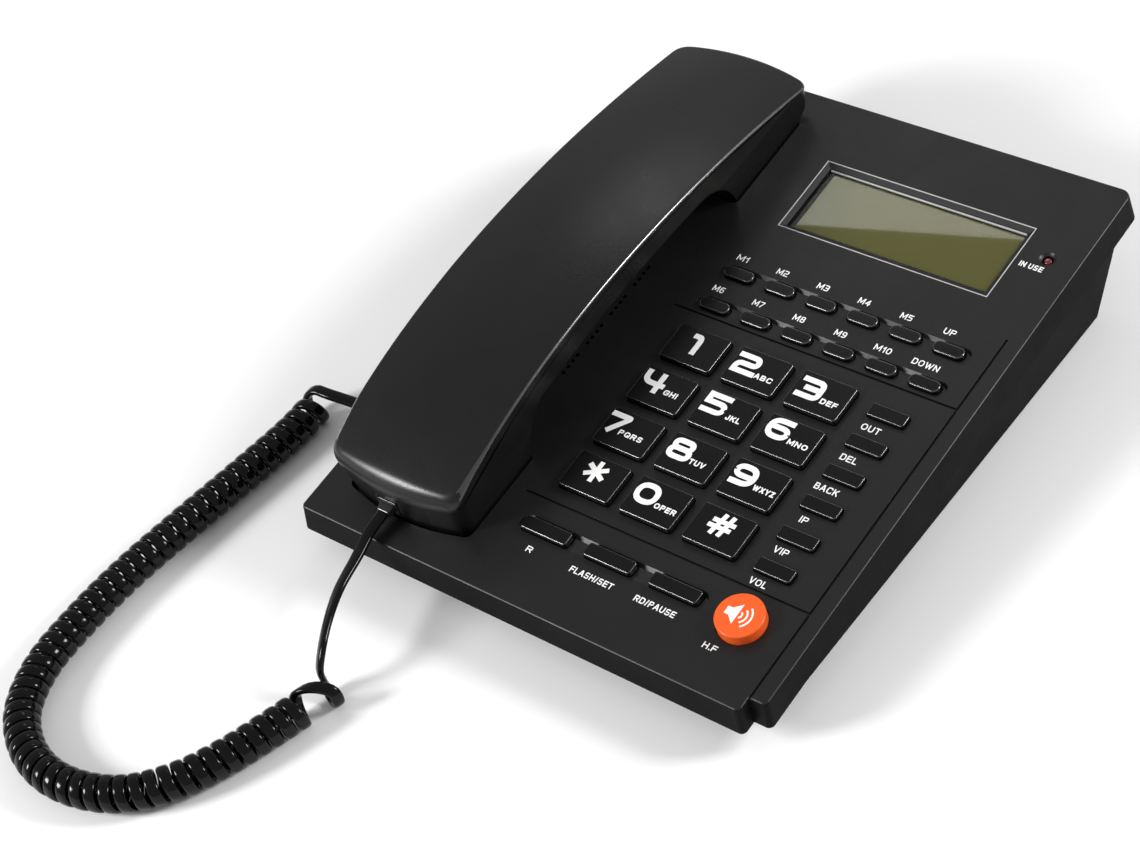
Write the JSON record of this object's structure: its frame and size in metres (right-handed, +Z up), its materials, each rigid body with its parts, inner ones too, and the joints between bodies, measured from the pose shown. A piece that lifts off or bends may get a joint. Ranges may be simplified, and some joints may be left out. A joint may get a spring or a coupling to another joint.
{
  "type": "corded telephone",
  "caption": "Sloping desk telephone: handset in a cradle on the left, keypad, number display, hands-free key and curly cord.",
  "frame": {"origin": "on the table, under the middle of the housing", "axes": "+Z up, -Y towards the user, +X to the user's right"},
  "size_m": [0.2402, 0.3543, 0.0645],
  "materials": {
    "black_plastic": "fine moulded grain, satin",
    "key_plastic": "satin",
    "orange_plastic": "satin",
    "clear_plastic": "polished",
    "display": "polished",
    "lamp": "polished",
    "cord_vinyl": "glossy",
    "foot_rubber": "matt",
    "board_resin": "satin",
    "grey_rubber": "matt",
    "transducer": "satin",
    "plug_plastic": "polished"
  },
  "bodies": {
    "base": {"upper_housing": "black_plastic", "lower_housing": "black_plastic", "display_window": "clear_plastic", "lcd_panel": "display", "in_use_lamp": "lamp", "key_membrane": "grey_rubber", "main_board": "board_resin", "loudspeaker": "transducer", "line_jack": "black_plastic", "cord_jack": "black_plastic", "foot_front_left": "foot_rubber", "foot_front_right": "foot_rubber", "foot_rear_left": "foot_rubber", "foot_rear_right": "foot_rubber", "base_plug": "plug_plastic", "cord_base_lead": "cord_vinyl", "cord_curls": "cord_vinyl"},
    "handset": {"handset_outer_shell": "black_plastic", "handset_inner_shell": "black_plastic", "receiver_capsule": "transducer", "microphone_capsule": "transducer", "handset_jack": "black_plastic", "handset_plug": "plug_plastic", "cord_handset_lead": "cord_vinyl"},
    "hook": {"hook_plunger": "black_plastic"},
    "ringer": {"ringer_switch": "black_plastic"},
    "button_1": {"key_1": "key_plastic"},
    "button_2": {"key_2": "key_plastic"},
    "button_3": {"key_3": "key_plastic"},
    "button_4": {"key_4": "key_plastic"},
    "button_5": {"key_5": "key_plastic"},
    "button_6": {"key_6": "key_plastic"},
    "button_7": {"key_7": "key_plastic"},
    "button_8": {"key_8": "key_plastic"},
    "button_9": {"key_9": "key_plastic"},
    "button_star": {"key_star": "key_plastic"},
    "button_0": {"key_0": "key_plastic"},
    "button_hash": {"key_hash": "key_plastic"},
    "button_m1": {"key_m1": "key_plastic"},
    "button_m2": {"key_m2": "key_plastic"},
    "button_m3": {"key_m3": "key_plastic"},
    "button_m4": {"key_m4": "key_plastic"},
    "button_m5": {"key_m5": "key_plastic"},
    "button_up": {"key_up": "key_plastic"},
    "button_m6": {"key_m6": "key_plastic"},
    "button_m7": {"key_m7": "key_plastic"},
    "button_m8": {"key_m8": "key_plastic"},
    "button_m9": {"key_m9": "key_plastic"},
    "button_m10": {"key_m10": "key_plastic"},
    "button_down": {"key_down": "key_plastic"},
    "button_out": {"key_out": "key_plastic"},
    "button_del": {"key_del": "key_plastic"},
    "button_back": {"key_back": "key_plastic"},
    "button_ip": {"key_ip": "key_plastic"},
    "button_vip": {"key_vip": "key_plastic"},
    "button_vol": {"key_vol": "key_plastic"},
    "button_r": {"key_r": "key_plastic"},
    "button_flash": {"key_flash": "key_plastic"},
    "button_redial": {"key_redial": "key_plastic"},
    "button_hands_free": {"key_hands_free": "orange_plastic"}
  },
  "joints": [
    {"name": "handset_lift", "type": "slide", "parent": "base", "child": "handset", "axis": [0, -0.1045, 0.9945], "range_m": [0, 0.06]},
    {"name": "hook_rise", "type": "slide", "parent": "base", "child": "hook", "axis": [0, -0.1045, 0.9945], "range_m": [0, 0.004]},
    {"name": "ringer_slide", "type": "slide", "parent": "base", "child": "ringer", "axis": [0, 1, 0], "range_m": [-0.0035, 0.0035]},
    {"name": "press_1", "type": "slide", "parent": "base", "child": "button_1", "axis": [0, 0.1045, -0.9945], "range_m": [0, 0.0015], "stiffness_N_per_m": 800, "springref_m": -0.0005},
    {"name": "press_2", "type": "slide", "parent": "base", "child": "button_2", "axis": [0, 0.1045, -0.9945], "range_m": [0, 0.0015], "stiffness_N_per_m": 800, "springref_m": -0.0005},
    {"name": "press_3", "type": "slide", "parent": "base", "child": "button_3", "axis": [0, 0.1045, -0.9945], "range_m": [0, 0.0015], "stiffness_N_per_m": 800, "springref_m": -0.0005},
    {"name": "press_4", "type": "slide", "parent": "base", "child": "button_4", "axis": [0, 0.1045, -0.9945], "range_m": [0, 0.0015], "stiffness_N_per_m": 800, "springref_m": -0.0005},
    {"name": "press_5", "type": "slide", "parent": "base", "child": "button_5", "axis": [0, 0.1045, -0.9945], "range_m": [0, 0.0015], "stiffness_N_per_m": 800, "springref_m": -0.0005},
    {"name": "press_6", "type": "slide", "parent": "base", "child": "button_6", "axis": [0, 0.1045, -0.9945], "range_m": [0, 0.0015], "stiffness_N_per_m": 800, "springref_m": -0.0005},
    {"name": "press_7", "type": "slide", "parent": "base", "child": "button_7", "axis": [0, 0.1045, -0.9945], "range_m": [0, 0.0015], "stiffness_N_per_m": 800, "springref_m": -0.0005},
    {"name": "press_8", "type": "slide", "parent": "base", "child": "button_8", "axis": [0, 0.1045, -0.9945], "range_m": [0, 0.0015], "stiffness_N_per_m": 800, "springref_m": -0.0005},
    {"name": "press_9", "type": "slide", "parent": "base", "child": "button_9", "axis": [0, 0.1045, -0.9945], "range_m": [0, 0.0015], "stiffness_N_per_m": 800, "springref_m": -0.0005},
    {"name": "press_star", "type": "slide", "parent": "base", "child": "button_star", "axis": [0, 0.1045, -0.9945], "range_m": [0, 0.0015], "stiffness_N_per_m": 800, "springref_m": -0.0005},
    {"name": "press_0", "type": "slide", "parent": "base", "child": "button_0", "axis": [0, 0.1045, -0.9945], "range_m": [0, 0.0015], "stiffness_N_per_m": 800, "springref_m": -0.0005},
    {"name": "press_hash", "type": "slide", "parent": "base", "child": "button_hash", "axis": [0, 0.1045, -0.9945], "range_m": [0, 0.0015], "stiffness_N_per_m": 800, "springref_m": -0.0005},
    {"name": "press_m1", "type": "slide", "parent": "base", "child": "button_m1", "axis": [0, 0.1045, -0.9945], "range_m": [0, 0.0015], "stiffness_N_per_m": 800, "springref_m": -0.0005},
    {"name": "press_m2", "type": "slide", "parent": "base", "child": "button_m2", "axis": [0, 0.1045, -0.9945], "range_m": [0, 0.0015], "stiffness_N_per_m": 800, "springref_m": -0.0005},
    {"name": "press_m3", "type": "slide", "parent": "base", "child": "button_m3", "axis": [0, 0.1045, -0.9945], "range_m": [0, 0.0015], "stiffness_N_per_m": 800, "springref_m": -0.0005},
    {"name": "press_m4", "type": "slide", "parent": "base", "child": "button_m4", "axis": [0, 0.1045, -0.9945], "range_m": [0, 0.0015], "stiffness_N_per_m": 800, "springref_m": -0.0005},
    {"name": "press_m5", "type": "slide", "parent": "base", "child": "button_m5", "axis": [0, 0.1045, -0.9945], "range_m": [0, 0.0015], "stiffness_N_per_m": 800, "springref_m": -0.0005},
    {"name": "press_up", "type": "slide", "parent": "base", "child": "button_up", "axis": [0, 0.1045, -0.9945], "range_m": [0, 0.0015], "stiffness_N_per_m": 800, "springref_m": -0.0005},
    {"name": "press_m6", "type": "slide", "parent": "base", "child": "button_m6", "axis": [0, 0.1045, -0.9945], "range_m": [0, 0.0015], "stiffness_N_per_m": 800, "springref_m": -0.0005},
    {"name": "press_m7", "type": "slide", "parent": "base", "child": "button_m7", "axis": [0, 0.1045, -0.9945], "range_m": [0, 0.0015], "stiffness_N_per_m": 800, "springref_m": -0.0005},
    {"name": "press_m8", "type": "slide", "parent": "base", "child": "button_m8", "axis": [0, 0.1045, -0.9945], "range_m": [0, 0.0015], "stiffness_N_per_m": 800, "springref_m": -0.0005},
    {"name": "press_m9", "type": "slide", "parent": "base", "child": "button_m9", "axis": [0, 0.1045, -0.9945], "range_m": [0, 0.0015], "stiffness_N_per_m": 800, "springref_m": -0.0005},
    {"name": "press_m10", "type": "slide", "parent": "base", "child": "button_m10", "axis": [0, 0.1045, -0.9945], "range_m": [0, 0.0015], "stiffness_N_per_m": 800, "springref_m": -0.0005},
    {"name": "press_down", "type": "slide", "parent": "base", "child": "button_down", "axis": [0, 0.1045, -0.9945], "range_m": [0, 0.0015], "stiffness_N_per_m": 800, "springref_m": -0.0005},
    {"name": "press_out", "type": "slide", "parent": "base", "child": "button_out", "axis": [0, 0.1045, -0.9945], "range_m": [0, 0.0015], "stiffness_N_per_m": 800, "springref_m": -0.0005},
    {"name": "press_del", "type": "slide", "parent": "base", "child": "button_del", "axis": [0, 0.1045, -0.9945], "range_m": [0, 0.0015], "stiffness_N_per_m": 800, "springref_m": -0.0005},
    {"name": "press_back", "type": "slide", "parent": "base", "child": "button_back", "axis": [0, 0.1045, -0.9945], "range_m": [0, 0.0015], "stiffness_N_per_m": 800, "springref_m": -0.0005},
    {"name": "press_ip", "type": "slide", "parent": "base", "child": "button_ip", "axis": [0, 0.1045, -0.9945], "range_m": [0, 0.0015], "stiffness_N_per_m": 800, "springref_m": -0.0005},
    {"name": "press_vip", "type": "slide", "parent": "base", "child": "button_vip", "axis": [0, 0.1045, -0.9945], "range_m": [0, 0.0015], "stiffness_N_per_m": 800, "springref_m": -0.0005},
    {"name": "press_vol", "type": "slide", "parent": "base", "child": "button_vol", "axis": [0, 0.1045, -0.9945], "range_m": [0, 0.0015], "stiffness_N_per_m": 800, "springref_m": -0.0005},
    {"name": "press_r", "type": "slide", "parent": "base", "child": "button_r", "axis": [0, 0.1045, -0.9945], "range_m": [0, 0.0015], "stiffness_N_per_m": 800, "springref_m": -0.0005},
    {"name": "press_flash", "type": "slide", "parent": "base", "child": "button_flash", "axis": [0, 0.1045, -0.9945], "range_m": [0, 0.0015], "stiffness_N_per_m": 800, "springref_m": -0.0005},
    {"name": "press_redial", "type": "slide", "parent": "base", "child": "button_redial", "axis": [0, 0.1045, -0.9945], "range_m": [0, 0.0015], "stiffness_N_per_m": 800, "springref_m": -0.0005},
    {"name": "press_hands_free", "type": "slide", "parent": "base", "child": "button_hands_free", "axis": [0, 0.1045, -0.9945], "range_m": [0, 0.0015], "stiffness_N_per_m": 800, "springref_m": -0.0005}
  ],
  "couplings": [
    {"joint": "hook_rise", "follows": "handset_lift", "ratio": 0.0666}
  ]
}
